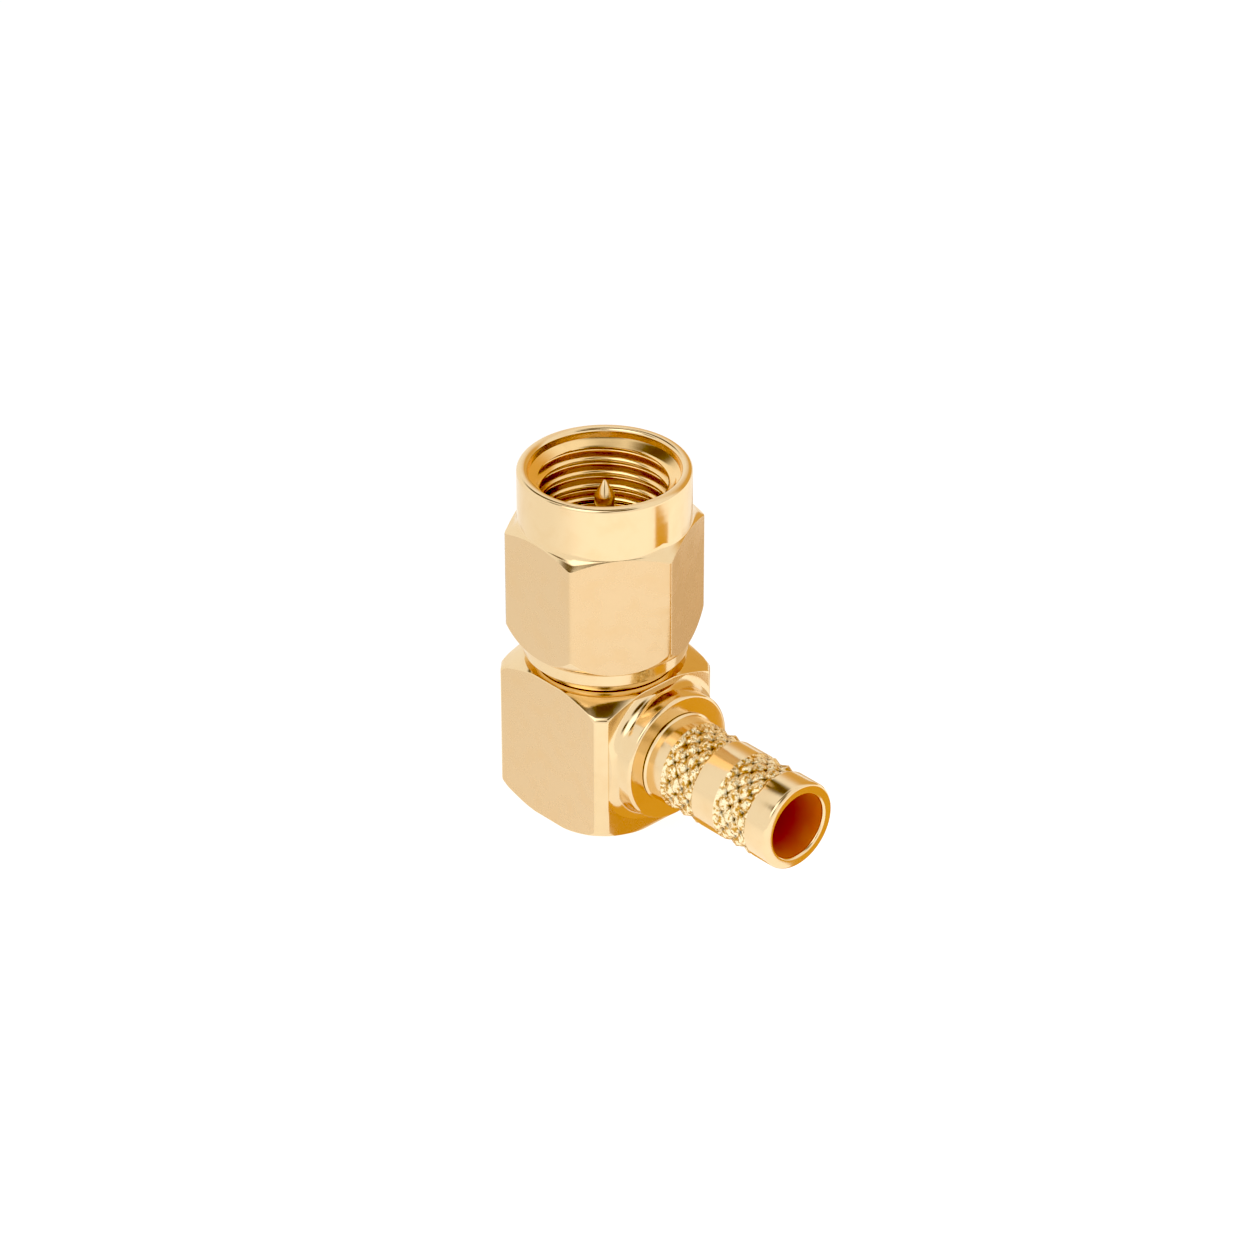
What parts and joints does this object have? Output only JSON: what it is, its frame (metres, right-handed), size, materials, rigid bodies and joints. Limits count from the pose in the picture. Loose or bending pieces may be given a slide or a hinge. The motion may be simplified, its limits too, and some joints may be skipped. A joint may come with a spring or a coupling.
{
  "type": "right-angle coaxial connector plug",
  "caption": "Right-angle coaxial crimp plug: hexagonal threaded coupling nut on a square elbow block, recessed centre pin, and a knurled tubular stem for the cable's braid.",
  "frame": {"origin": "centre of the flat underside of the elbow block (the access cap's outer face), on the mating axis", "axes": "+Z along the mating axis towards the nut's mouth, +X along the crimp stem away from the block, +Y completes a right-handed frame"},
  "size_m": [0.0173, 0.0082, 0.0174],
  "materials": {
    "gold_plate": "thin gold plate over machined brass: satin on the milled flats, bright on the turned surfaces",
    "ptfe": "turned white fluoropolymer, waxy and slightly translucent",
    "beryllium_copper": "spring-tempered copper alloy, dull",
    "red_silicone": "moulded silicone rubber, matt"
  },
  "bodies": {
    "housing": {"elbow_block": "gold_plate", "outer_contact": "gold_plate", "front_insulator": "ptfe", "rear_insulator": "ptfe", "cap_insulator": "ptfe", "center_contact": "gold_plate", "crimp_stem": "gold_plate", "access_cap": "gold_plate", "gasket": "red_silicone"},
    "ring": {"retaining_ring": "beryllium_copper"},
    "nut": {"coupling_nut": "gold_plate"}
  },
  "joints": [
    {"name": "nut_float", "type": "slide", "parent": "housing", "child": "ring", "axis": [0, 0, 1], "range_m": [0, 0.00015]},
    {"name": "nut_spin", "type": "hinge", "parent": "ring", "child": "nut", "pos_m": [0, 0, 0.0127], "axis": [0, 0, 1], "continuous": true}
  ]
}
